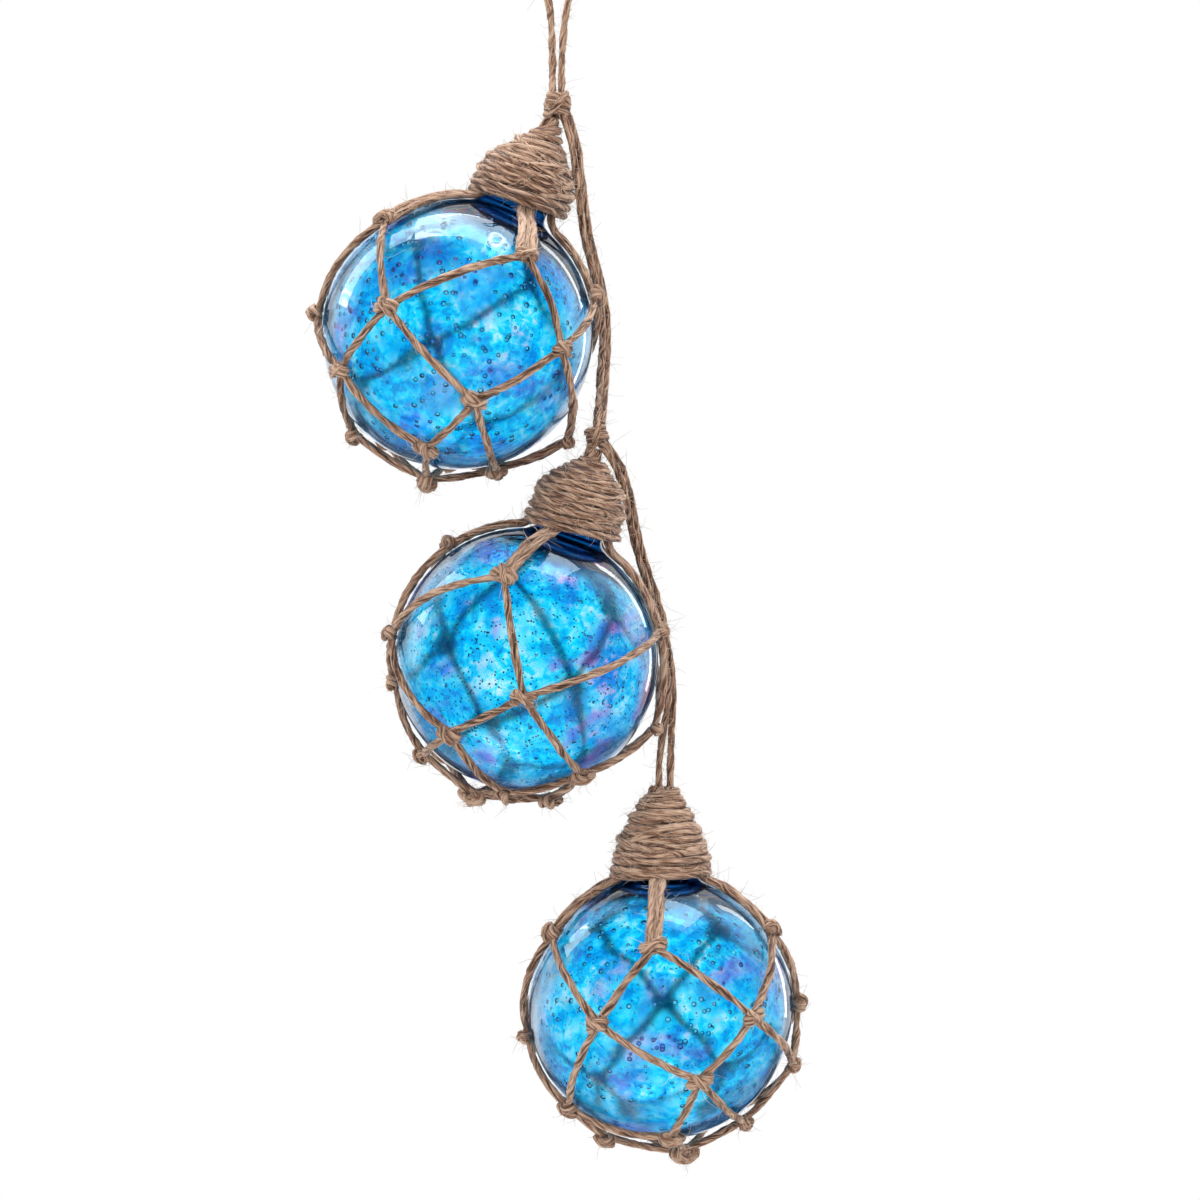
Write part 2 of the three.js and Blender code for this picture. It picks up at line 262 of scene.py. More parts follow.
def juteTwine():
    material = bpy.data.materials.new("jute twine")
    tree = emptyTree(material)
    lay = addNode(tree, "ShaderNodeAttribute", {"attribute_name": "lay"})
    shade = addNode(tree, "ShaderNodeAttribute", {"attribute_name": "shade"})
    parts = addNode(tree, "ShaderNodeSeparateXYZ", links={0: shade.outputs["Vector"]})
    long = addNode(tree, "ShaderNodeMapping", {"Scale": (juteLook["alongFibre"], 1, 1)},
                   {"Vector": lay.outputs["Vector"]})      # fibres run along the yarn
    streak = addNode(tree, "ShaderNodeTexNoise", {
        "Scale": 1 / juteLook["streakMm"], "Detail": 3.0, "Roughness": 0.6},
        {"Vector": long.outputs["Vector"]})
    patch = addNode(tree, "ShaderNodeTexNoise", {
        "Scale": 1 / juteLook["patchMm"], "Detail": 2.0}, {"Vector": lay.outputs["Vector"]})
    # the level starts from how far the point stands out of the grooves: painted groove shade
    level = addNode(tree, "ShaderNodeMath", {
        "operation": "MULTIPLY_ADD", 1: juteLook["ofLitCrest"], 2: juteLook["base"]},
        {0: parts.outputs["X"]})
    for share, source in (("ofStreak", streak.outputs["Fac"]), ("ofPatch", patch.outputs["Fac"]),
                          ("ofStrand", parts.outputs["Z"]), ("ofTone", parts.outputs["Y"])):
        level = addNode(tree, "ShaderNodeMath", {"operation": "MULTIPLY_ADD", 1: juteLook[share]},
                        {0: source, 2: level.outputs[0]})
    colour = addNode(tree, "ShaderNodeValToRGB", {"stops": colourStops(juteLook, [
        (0.36, "groove"), (0.52, "shade"), (0.68, "body"), (0.92, "pale")])},
        {0: level.outputs[0]})
    bump = addNode(tree, "ShaderNodeBump", {
        "Strength": 0.6, "Distance": juteLook["bumpMm"] * metresPerMm},
        {"Height": streak.outputs["Fac"]})
    shader = addNode(tree, "ShaderNodeBsdfPrincipled", {
        "Roughness": juteLook["roughness"], "Specular IOR Level": juteLook["specular"],
        "Sheen Weight": juteLook["sheen"], "Sheen Roughness": juteLook["sheenRoughness"]},
        {"Base Color": colour.outputs[0], "Normal": bump.outputs[0]})
    addNode(tree, "ShaderNodeOutputMaterial", links={0: shader.outputs[0]})
    return material


# Loose jute fibre: single bast hairs worked out of the twine, paler than it and a little shiny.
fibreLook = {
    "dark": "#826A58", "light": "#E2D0BA", "roughness": 0.6, "specular": 0.4,
    "spread": 0.35, "curl": 0.5, "waver": 0.12,            # turns, as shares of going straight
    "shortest": 0.4, "tip": 0.45,                          # shares of the length and thickness
}


def looseJute():
    material = bpy.data.materials.new("loose jute fibre")
    tree = emptyTree(material)
    shade = addNode(tree, "ShaderNodeAttribute", {"attribute_name": "shade"})
    parts = addNode(tree, "ShaderNodeSeparateXYZ", links={0: shade.outputs["Vector"]})
    colour = addNode(tree, "ShaderNodeValToRGB", {
        "stops": colourStops(fibreLook, [(0.0, "dark"), (0.6, "light")])},
        {0: parts.outputs["Z"]})
    shader = addNode(tree, "ShaderNodeBsdfPrincipled", {
        "Roughness": fibreLook["roughness"], "Specular IOR Level": fibreLook["specular"]},
        {"Base Color": colour.outputs[0]})
    addNode(tree, "ShaderNodeOutputMaterial", links={0: shader.outputs[0]})
    return material


jute = juteTwine()
fibre = looseJute()


def hairs(tubes, style, rng, keepOut=()):
    # Thin tapering tubes that start in the twine's surface and curl away from it.
    count, steps, sides = style["count"], style["steps"], 3
    paths = np.vstack([tube["path"] for tube in tubes])
    tangents = np.vstack([tube["tangent"] for tube in tubes])
    radii = np.concatenate([np.full(len(tube["path"]), tube["radius"]) for tube in tubes])
    pick = rng.integers(0, len(paths), count)
    tangent = tangents[pick] * rng.choice([-1, 1], count)[:, None]
    outward = rng.normal(size=(count, 3))
    outward = unit(outward - tangent * np.sum(outward * tangent, axis=1, keepdims=True))
    heading = unit(outward * style["lift"] + tangent
                   + rng.normal(0, fibreLook["spread"], (count, 3)))
    length = rng.uniform(*style["lengths"], count) * rng.uniform(fibreLook["shortest"], 1, count)
    curl = rng.normal(0, fibreLook["curl"], (count, 3))
    at = paths[pick] + outward * (0.8 * radii[pick])[:, None]
    points = [at]
    for _ in range(steps):
        heading = unit(heading + curl + rng.normal(0, fibreLook["waver"], (count, 3)))
        at = at + heading * (length / steps)[:, None]
        for centre, radius in keepOut:
            away = at - centre
            far = np.linalg.norm(away, axis=1, keepdims=True)
            at = np.where(far < radius, centre + away / far * radius, at)
        points.append(at)
    points = np.stack(points, axis=1)
    tangent = unit(np.gradient(points, axis=1))
    across = unit(np.cross(tangent, aslant))
    over = np.cross(tangent, across)
    taper = style["thick"] * np.linspace(1, fibreLook["tip"], steps + 1)[None, :, None, None]
    angle = (fullTurn * np.arange(sides) / sides)[None, None, :, None]
    rings = points[:, :, None, :] + taper * (
        np.cos(angle) * across[:, :, None, :] + np.sin(angle) * over[:, :, None, :])
    perHair = (steps + 1) * sides
    root = np.arange(count)[:, None] * perHair
    quads = (tubeFaces(sides, steps + 1)[0] + root[:, :, None]).reshape(-1, 4)
    tris = np.vstack([root + [2, 1, 0], root + steps * sides + [0, 1, 2]])
    verts = rings.reshape(-1, 3)
    shade = np.zeros((len(verts), 3))
    shade[:, 2] = np.repeat(rng.random(count), perHair)
    return {"verts": verts, "quads": quads, "tris": tris, "lay": verts, "shade": shade}


def makeTwine(name, parts, replaced, look, rng, keepOut=(), more=(), ending="_twine"):
    laid = [part for part in parts if "path" in part]
    fuzz = [hairs(on, look[kind], rng, keepOut)
            for on, kind in ((laid, "shortHairs"), (laid, "longHairs"), *more)]
    twine = makePiece(name + ending, parts, jute, [replaced])
    return twine, makePiece(name + "_fibres", fuzz, fibre)


# The three floats, with the same figures as the part, in millimetres and degrees. Lean tips
# the neck to the right and nod to the front. A net has four rows of five knots and a closing
# knot, each with its azimuth, its latitude and how far it hangs off the glass.
floats = [
    {
        "name": "upper", "radius": 40.6, "centre": (-30.3, -1, -114.1), "lean": 24.3, "nod": 0,
        "rows": [[(-62, 30), (19, 41), (84, 39), (156, 36), (226, 32)],
                 [(-28, -4), (48, 10), (122, 4), (192, -6), (274, -16)],
                 [(22, -24), (88, -20, 3.5), (152, -30), (226, -38), (311, -36)],
                 [(92, -50), (148, -58), (205, -62), (272, -69, 0.8), (376, -55, 0.8)]],
        "closing": (80, -77, 2.2), "fan": 2.3, "pairTone": 1.3,
        "capHeight": 43.3, "capTilt": -1.8, "capFoot": -1.3, "bundle": 1.4, "turns": 14,
        "slope": 0.9, "crossings": 8, "drift": 0.75,
        "capOutline": [(15.6, 0), (15.3, 5), (14.5, 9.3), (12, 12.8), (9.2, 15.4), (6.2, 20),
                       (2.6, 25)],
        # lustre: how much painted lustre reflection this float's glass takes
        "lustre": 0.07, "bubbles": {"rings": (900, 0.5, 0.9), "specks": (1400, 0.12, 0.26)},
        "seed": 11,
    },
    {
        "name": "middle", "radius": 39.4, "centre": (-9.7, -3, -211.5), "lean": 19.1, "nod": 2,
        "rows": [[(-92, 37), (-24, 33), (80, 31), (140, 34), (204, 35)],
                 [(-82, -8), (4, -12), (88, -9, 2.4), (156, -8), (220, -8)],
                 [(-27, -40), (56, -39), (122, -38), (190, -36), (256, -29)],
                 [(30, -69, 0.8), (82, -61, 1), (160, -62), (226, -60), (282, -61, 0.8)]],
        "closing": (-40, -86, 2.2), "fan": 1.2, "pairTone": 0.4,
        "capHeight": 41.1, "capTilt": -3.1, "capFoot": -1.3, "bundle": 1.6, "turns": 12,
        "slope": 0.4, "crossings": 3, "drift": 0.4,
        "capOutline": [(14.9, 0), (14.6, 4), (13.9, 9.5), (11.8, 14.2), (8.2, 17.6),
                       (2.6, 22.4)],
        "lustre": 1.0, "bubbles": {"rings": (140, 0.35, 0.7), "specks": (4600, 0.2, 0.4)},
        "seed": 23,
    },
    {
        "name": "lower", "radius": 39.7, "centre": (30.5, 4, -316.1), "lean": 0, "nod": 0,
        "rows": [[(-69, 33), (-4, 30), (74, 35), (146, 33), (218, 34)],
                 [(-27, -2), (40, 0), (96, 1), (178, -4), (263, -13)],
                 [(17, -26), (84, -23, 1.8), (142, -32), (216, -36), (294, -44)],
                 [(79, -53, 0.8), (138, -56), (210, -58), (287, -66, 0.8), (368, -60, 0.8)]],
        "closing": (51, -78, 2.2), "fan": 1.3, "pairTone": 0.5,
        "capHeight": 39.9, "capTilt": 1, "capFoot": -1.7, "bundle": 0, "turns": 13,
        "slope": 0.3, "crossings": 3, "drift": 0.4,
        "capOutline": [(15.6, 0), (15.1, 3.8), (13.8, 8.1), (12.3, 11.7), (8.2, 19.6),
                       (4.8, 25.2)],
        "lustre": 0.24, "bubbles": {"rings": (560, 0.5, 0.9), "specks": (2400, 0.17, 0.34)},
        "seed": 37,
    },
]
for ball in floats:
    ball["place"] = (Matrix.Translation(ball["centre"])
                     @ Matrix.Rotation(math.radians(ball["nod"]), 4, "X")
                     @ Matrix.Rotation(math.radians(ball["lean"]), 4, "Y"))
    ball["capPlace"] = (ball["place"] @ Matrix.Translation((0, 0, ball["capHeight"]))
                        @ Matrix.Rotation(math.radians(ball["capTilt"]), 4, "Y"))
keepOut = [(np.array(ball["centre"]), ball["radius"] + 0.2) for ball in floats]


# The cords: the hanging loop and the doubled string, laid through the knots. Its two
# strands lie together and open over the lower cap. A hair's thick is its root's radius.
cordLook = {
    "radius": 1.18, "sides": 14, "step": 0.5, "aside": 0.8, "behind": 1.1,
    "openFrom": -226, "openTo": -243, "openAside": 1.75,
    "loopShift": -0.6, "loopShiftBy": -40,                 # the loop leans over to its knot
    "shortHairs": {"count": 380, "lengths": (0.5, 1.7), "thick": 0.06, "steps": 2,
                   "lift": 1.0},
    "longHairs": {"count": 120, "lengths": (2, 9), "thick": 0.055, "steps": 5, "lift": 0.7},
    "loopSeed": 3, "stringSeed": 5,
}
loopHalf = [(0, 0, 1.2), (3.2, 0, 0.2), (5, 0, -2.6), (4.9, 0, -6.4), (3.8, 0, -10.6),
            (2.7, 0, -15.4), (2, 0, -21), (1.6, 0, -27), (1.4, -0.4, -33), (1.35, -0.8, -40.8),
            (1.2, -0.8, -43.8)]
strings = {
    "upper": [(0.9, -0.8, -46.4), (2.4, -0.8, -49.7), (4.1, -0.8, -55), (5.3, -0.5, -61.5),
              (6.3, 0.2, -69), (7.2, 1.1, -76.6), (8.3, 2.6, -84), (10, 4.6, -91.2),
              (11.9, 6.6, -98.2), (13.2, 8.2, -104.6), (13.8, 9, -111), (13.8, 8.7, -117.4),
              (13.4, 6.6, -123.6), (13, 2.6, -130.2), (12.2, -4.2, -140), (11.6, -5, -143)],
    "lower": [(12.6, -5, -146.4), (14.4, -5, -148.6), (16.7, -3.6, -152),
              (18.8, -1.4, -156.2), (20.3, 1.2, -161), (21.6, 3.3, -167),
              (22.8, 4.5, -173.4), (24.4, 5.5, -180), (26.6, 7, -186.8), (28.9, 8.5, -194),
              (30.9, 9.3, -201.6), (32.2, 9.1, -209.2), (33.3, 7.4, -216.8),
              (33.5, 5.6, -224.4), (32.7, 4.9, -232.6), (31.9, 4.4, -241.4),
              (31.7, 4, -250.3), (31.4, 4, -253)],
}


def pairSide(route, sign):            # one strand of a doubled string
    route = np.asarray(route, float)
    run = unit(np.gradient(route, axis=0))
    aside = unit(np.cross(run, [0, 1, 0]))
    behind = np.cross(aside, run)
    apart = np.interp(-route[:, 2:], [-cordLook["openFrom"], -cordLook["openTo"]],
                      [cordLook["aside"], cordLook["openAside"]])
    return route + sign * (apart * aside + cordLook["behind"] * behind)


def makeCord(name, route, seed):
    rng = np.random.default_rng(seed)
    path = smoothPath(route, cordLook["step"])
    tube = twineTube(path, cordLook["radius"], rng, sides=cordLook["sides"])
    cord, fuzz = makeTwine(name, [tube], name, cordLook, rng, keepOut)


loopRoute = np.array([(-x, y, z) for x, y, z in reversed(loopHalf[1:])] + loopHalf, float)
sink = np.clip(loopRoute[:, 2] / cordLook["loopShiftBy"], 0, 1)
loopRoute[:, 0] += cordLook["loopShift"] * sink * sink * (3 - 2 * sink)
makeCord("hanging_loop", loopRoute, cordLook["loopSeed"])
for number, (name, route) in enumerate(strings.items()):
    for side, sign in (("left", -1), ("right", 1)):
        strand = pairSide(route, sign)
        makeCord(f"string_{name}_{side}", strand, cordLook["stringSeed"] + 2 * number + sign)
print("cords laid")


# A knot is a turn or two of its own strands drawn tight round the crossing, under one strand
# that lies over it aslant. Its size is wide, deep, tall and how far out it sits.
knotLook = {
    "tilt": 22, "start": 0.6, "pointsPerTurn": 26, "step": 0.6, "uneven": 0.06, "stagger": 0.35,
    "turnThick": 0.95, "overThick": 0.85, "overReach": 0.9, "overRise": 0.35,
    "over": [(-0.8, -1, 0.1), (-0.5, -0.65, 0.9), (0.1, 0.05, 1.35), (0.6, 0.7, 0.8),
             (0.7, 1.05, 0.0)],                            # shares of wide, tall and deep
}
netLook = {
    "radius": 1.27, "lift": 1.5, "sway": 0.28, "neckRadius": 9.6,
    "knotSize": (3.0, 1.05, 1.35, 0.75), "knotTurns": [1.5, 2.0, 2.0], "knotTone": 0.25,
    "knotGrow": (0.94, 1.1), "tight": 0.72, "tightLift": 1.5,   # a knot off the glass is small
    "closingKnots": [((3.6, 1.5, 1.8, 0.9), 3, 1.25), ((1.7, 0.7, 1.5, 1.0), 2, 1.35)],
    "closingTone": 0.4,
    "pairRadius": 1.32, "pairSides": 9, "yarnSides": 6, "pairSway": 0.25, "neckGap": 0.25,
    "besideNeck": [(0, 5.2), (0, 2.6), (1.1, 0.8)],        # out, and up from the ball's top
    "shoulderOut": 3.2, "shoulderPoints": 7,
    "frontPairs": 40, "backTone": 0.2,                     # degrees off the front; the rest
    # Each strand of a pair and the loose yarns with it: how far aside at the neck, how far
    # at its knot as a share of the fan, and how thick.
    "pair": [(-1.3, -1, 1), (1.3, 1, 1), (0.2, -0.3, 0.5), (-0.3, 0.3, 0.4),
             (1.9, 1.45, 0.33), (-2, -1.5, 0.28)],
    "shortHairs": {"count": 2500, "lengths": (0.5, 1.7), "thick": 0.065, "steps": 2,
                   "lift": 1.1},
    "longHairs": {"count": 620, "lengths": (2, 9), "thick": 0.07, "steps": 4, "lift": 0.7},
    "pairHairs": {"count": 640, "lengths": (1.5, 7), "thick": 0.07, "steps": 4, "lift": 0.5},
}


def tiedLump(centre, axes, size, rng, turns=2.0, radius=netLook["radius"], tone=0.0):
    side, up, out = axes
    wide, deep, tall, shift = size
    tilt = math.radians(rng.uniform(-knotLook["tilt"], knotLook["tilt"]))
    side, up = (side * math.cos(tilt) + up * math.sin(tilt),
                up * math.cos(tilt) - side * math.sin(tilt))
    t = np.linspace(knotLook["start"] * math.pi, (knotLook["start"] + 2 * turns) * math.pi,
                    int(knotLook["pointsPerTurn"] * turns))
    f = np.linspace(-1, 1, len(t))
    grow = 1 + knotLook["uneven"] * np.sin(2.3 * t + rng.random() * 6)
    coil = (centre + side * (wide * grow * np.cos(t))[:, None]
            + out * (deep * grow * np.sin(t) + shift)[:, None]
            + up * (tall * f + knotLook["stagger"] * np.sin(t + 1))[:, None])
    wound = twineTube(smoothPath(coil[::2], knotLook["step"]), radius * knotLook["turnThick"],
                      rng, tone)
    lean = rng.choice([-1, 1])
    over = np.array(knotLook["over"]) * [wide * lean, tall + knotLook["overReach"], 1]
    over = (centre + side * over[:, :1] + up * over[:, 1:2]
            + out * (over[:, 2:] * (deep + knotLook["overRise"]) + shift))
    return [wound, twineTube(smoothPath(over, knotLook["step"]),
                             radius * knotLook["overThick"], rng, tone)]


def netParts(ball, rng):
    radius, lift, rows = ball["radius"], netLook["lift"], ball["rows"]
    columns, tubes, lumps = len(rows[0]), [], []
    spots = [(direction(azimuth, latitude), rise[0] if rise else 0)
             for azimuth, latitude, *rise in sum(rows, []) + [ball["closing"]]]
    closing = len(spots) - 1

    def strand(a, b):                 # from knot to knot over the glass
        (da, ea), (db, eb) = spots[a], spots[b]
        angle = math.acos(np.clip(np.dot(da, db), -1, 1))
        count = max(8, int(angle * radius / 3))
        f = np.linspace(0, 1, count)
        arc = unit(np.sin((1 - f) * angle)[:, None] * da + np.sin(f * angle)[:, None] * db)
        side = unit(np.cross(da, db))
        sway = np.sin(f * math.pi) * netLook["sway"] * (rng.normal() + wander(count, rng, 4))
        far = (radius + lift + ea * (1 - f) ** 2 + eb * f ** 2)[:, None]
        path = unit(arc * far + side * sway[:, None]) * far
        tubes.append(twineTube(smoothPath(path, twineLook["step"]), netLook["radius"], rng))

    def pair(azimuth, latitude):      # down the neck and over the shoulder to its knot
        neck = netLook["neckRadius"] + netLook["pairRadius"] + netLook["neckGap"]
        angles = np.linspace(math.acos((neck + netLook["shoulderOut"]) / (radius + lift)),
                             math.radians(latitude), netLook["shoulderPoints"])
        spine = [(neck + out, radius + up) for out, up in netLook["besideNeck"]]
        spine += [((radius + lift) * math.cos(a), (radius + lift) * math.sin(a)) for a in angles]
        around = direction(azimuth, 0)
        beside = np.cross(around, [0, 0, 1])
        for start, end, thick in netLook["pair"]:
            spread = (np.linspace(start, end * ball["fan"], len(spine))
                      + netLook["pairSway"] * wander(len(spine), rng, 3))
            path = [around * r + np.array([0, 0, z]) + beside * s
                    for (r, z), s in zip(spine, spread)]
            tubes.append(twineTube(
                smoothPath(path, twineLook["step"]), netLook["pairRadius"] * thick, rng,
                ball["pairTone"] if abs(azimuth) < netLook["frontPairs"] else netLook["backTone"],
                netLook["pairSides" if thick == 1 else "yarnSides"]))

    for column in range(columns):
        pair(*rows[0][column])
        for row in range(len(rows) - 1):
            strand(row * columns + column, (row + 1) * columns + column)
            strand(row * columns + column, (row + 1) * columns + (column - 1) % columns)
        strand(closing - columns + column, closing)
    for number, (out, rise) in enumerate(spots):
        side = unit(np.cross([0, 0, 1], out))
        axes = side, np.cross(out, side), out
        centre = out * (radius + lift + rise)
        if number == closing:         # the last knot gathers all the strands
            for size, turns, thick in netLook["closingKnots"]:
                lumps += tiedLump(centre, axes, size, rng, turns, thick, netLook["closingTone"])
        else:
            grow = (netLook["tight"] if rise > netLook["tightLift"]
                    else rng.uniform(*netLook["knotGrow"]))
            lumps += tiedLump(centre, axes, [v * grow for v in netLook["knotSize"]], rng,
                              rng.choice(netLook["knotTurns"]), tone=netLook["knotTone"])
    return tubes, lumps


def moved(parts, matrix):             # from a float's own frame to the part's
    turn, shift = np.array(matrix)[:3, :3].T, np.array(matrix)[:3, 3]
    for part in parts:
        part["verts"] = part["verts"] @ turn + shift
        if "path" in part:
            part["path"] = part["path"] @ turn + shift
            part["tangent"] = part["tangent"] @ turn
    return parts


for ball in floats:
    rng = np.random.default_rng(ball["seed"])
    tubes, lumps = netParts(ball, rng)
    net, name = moved(tubes + lumps, ball["place"]), "net_" + ball["name"]
    pairs = [tube for tube in tubes if tube["radius"] != netLook["radius"]]
    makeTwine(name, net, name, netLook, rng, keepOut, [(pairs + lumps, "pairHairs")])
    print("net tied:", ball["name"])


# The whipping: one length of twine wound round the gathered ends, each turn pressed
# on the last, with a few turns that cross the rest.
capLook = {
    "radius": 1.22, "sides": 11, "step": 0.7, "loose": 0.5, "startAngle": 2.1, "startTurn": 0.35,
    "pressed": 0.85, "pointsPerTurn": 30, "tuckedIn": 0.2,
    "crossingRadius": 0.92, "crossingDip": 1.3, "crossingTone": 0.5,
    "gathered": 6, "gatheredRadius": 1.15, "gatheredTone": 0.3,
    "coreWall": 1.6, "coreLift": 1.2, "coreBore": 12.6, "coreRoof": 8, "coreSides": 40,
    "shortHairs": {"count": 2000, "lengths": (0.5, 1.8), "thick": 0.065, "steps": 2,
                   "lift": 1.1},
    "longHairs": {"count": 700, "lengths": (2, 7.5), "thick": 0.07, "steps": 4, "lift": 0.35},
}


def outlineAt(outline, share):        # a point of the cap's outline, by its length
    path = smoothPath([(r, 0, z) for r, z in outline], 0.4)
    at = np.linspace(0, 1, len(path))
    return np.interp(share, at, path[:, 0]), np.interp(share, at, path[:, 2])


def capParts(ball, rng):
    outline, twine, turns = ball["capOutline"], capLook["radius"], ball["turns"]
    wrapped = [(outline[0][0] - capLook["tuckedIn"], ball["capFoot"])] + outline
    t = np.linspace(0, turns, turns * capLook["pointsPerTurn"])
    first = capLook["startTurn"]
    radius, height = outlineAt(wrapped, np.clip((t + first) / (turns + first), 0, 1))
    loose = wander(len(t), rng, 9)
    drift = wander(len(t), rng, 14)
    angle = fullTurn * t + capLook["startAngle"]
    sag = ball["slope"] * np.cos(angle - 0.4)
    far = radius - twine * capLook["pressed"] + capLook["loose"] * loose
    level = np.maximum(height + sag + ball["drift"] * drift, ball["capFoot"])   # onto the glass
    wound = np.stack([far * np.cos(angle), far * np.sin(angle), level], axis=1)
    parts = [twineTube(smoothPath(wound[::2], capLook["step"]), twine, rng,
                       sides=capLook["sides"])]
    for _ in range(ball["crossings"]):               # turns thrown over the others at a slant
        start, rise = rng.uniform(0.12, 0.6), rng.uniform(0.12, 0.3)
        a = np.linspace(0, rng.uniform(1.1, 1.9) * math.pi, 40) + rng.random() * anyPhase
        f = np.linspace(0, 1, len(a))
        r, z = outlineAt(outline, np.clip(start + rise * np.sin(f * math.pi), 0, 0.97))
        r = r + capLook["crossingDip"] * (np.sin(f * math.pi) ** 0.5 - 1)
        path = np.stack([r * np.cos(a), r * np.sin(a), z], axis=1)
        parts.append(twineTube(smoothPath(path[::2], capLook["step"]),
                               twine * capLook["crossingRadius"], rng,
                               tone=capLook["crossingTone"]))
    topRadius, topHeight = outline[-1]
    for k in range(capLook["gathered"]):             # the gathered ends, up into the knot
        a = fullTurn * k / capLook["gathered"] + rng.random()
        r = topRadius * 0.72
        path = [(out * r * math.cos(a + swing), out * r * math.sin(a + swing), topHeight + up)
                for out, swing, up in ((1.4, 0, -5), (1, 0, -1), (0.8, 0.5, ball["bundle"] + 1.2))]
        parts.append(twineTube(smoothPath(path, 0.6), capLook["gatheredRadius"], rng,
                               tone=capLook["gatheredTone"]))
    bore, roof, raised = capLook["coreBore"], capLook["coreRoof"], capLook["coreLift"]
    profile = ([(0, roof), (bore, roof), (bore, raised)]
               + [(r - capLook["coreWall"], z + raised) for r, z in outline[:-1]]
               + [(0, topHeight - 1)])
    # its default shade paints this core dark between the turns as groove shade
    parts.append(turnedPart(profile, capLook["coreSides"]))   # the net's ends under the turns
    return parts


for ball in floats:
    rng = np.random.default_rng(ball["seed"] + 100)
    parts = moved(capParts(ball, rng), ball["capPlace"])
    makeTwine("whipping_" + ball["name"], parts, "whipped_cap_" + ball["name"], capLook, rng,
              keepOut, ending="")
    print("whipping wound:", ball["name"])


# The knots that join the doubled string, the loop and the gathered ends.
stringKnots = {
    "knot_upper": {"at": (-0.5, -0.8, -45.5), "size": (3.0, 2.3, 3.3, 0.0), "turns": 4.5,
                   "seed": 71},
    "knot_middle": {"at": (11.2, -5, -144.4), "size": (2.5, 2.2, 2.7, 0.0), "turns": 4,
                    "seed": 72},
}
stringKnotLook = {
    "radius": 1.2, "tone": 0.2,
    "shortHairs": {"count": 400, "lengths": (0.5, 1.7), "thick": 0.05, "steps": 2,
                   "lift": 1.3},
    "longHairs": {"count": 90, "lengths": (2, 6), "thick": 0.055, "steps": 4, "lift": 0.7},
}
knotAxes = np.array([(1.0, 0, 0), (0, 0, 1), (0, -1, 0)])   # side, up and out to the front
for name, knot in stringKnots.items():
    rng = np.random.default_rng(knot["seed"])
    parts = tiedLump(np.array(knot["at"]), knotAxes, knot["size"], rng, knot["turns"],
                     stringKnotLook["radius"], stringKnotLook["tone"])
    makeTwine(name, parts, name, stringKnotLook, rng)
print("string knots tied")


# Blown soda-lime glass, tinted aqua, with colour frit melted into its inner face, seed
# bubbles caught in the wall and a fumed lustre. To the eye: wet gloss, mottled sea blue that
# deepens to navy where the wall is thick, with painted navy shade under the cap and in the fine
# seeds, painted shade at the seeds' rims and the grazing edge, and pink patches of painted
# lustre reflection where the lustre took.
glassLook = {
    "wall": 2.1, "shoulder": 2.6, "shoulderAngle": 0.5, "sides": 96, "rings": 56,
    "ripple": 0.03, "rippleMm": 16, "wobble": 0.1, "wobbleMm": 13,   # outer and inner face
    "neckRise": 5, "neckFillet": 0.09, "neckRound": 0.9,   # all angles from the top, in radians
    "clear": "#F6FBFF", "pale": "#E2F8FF", "haze": "#80EEFF", "cyan": "#03E6FF",
    # the navy is the thick wall's deeper blue together with painted shade under the cap and in the
    # seeds
    "deep": "#02BCF8", "ink": "#0282D0", "navy": "#031B42", "rimShadeBlue": "#0C66BC",
    # the lilac, the pink and the strong pink are painted lustre reflection, put into the glass's
    # own colour
    "lilac": "#E8D8FF", "pink": "#F4B4E2", "pinkGlint": "#F664D0",
    "cloudMm": 13.0, "mottleMm": 3.0, "mottleShare": 0.58, "lustreMm": 15.0,
    "lustreNm": 600.0, "lustreIor": 1.85, "pinkGlintShare": 0.85,
    # the rim tint and its power give painted shade at grazing edges, on the seeds and the outer
    # wall
    "navyShadeAngle": 0.44, "navyShadeOutside": 1.2, "outerRimShade": 0.65, "rimShadePower": 1.6,
    "ior": 1.5, "polish": 0.02, "frit": 0.13,
    "absorb": "#88E2FF", "density": 92.0,
    "bubbleSpread": 0.3, "bubblesBelow": 0.93,       # off the middle of the wall, and no higher
}
bubbleLook = {                        # seeds that show as rings through painted shade at their rims, and fine ones painted dark with navy and rim shade
    "rings": {"sides": 8, "steps": 3, "flat": 0.4, "shade": (0, 1, 0)},
    "specks": {"sides": 4, "steps": 1, "flat": 0.9, "shade": (1, 1, 0.6)},
}


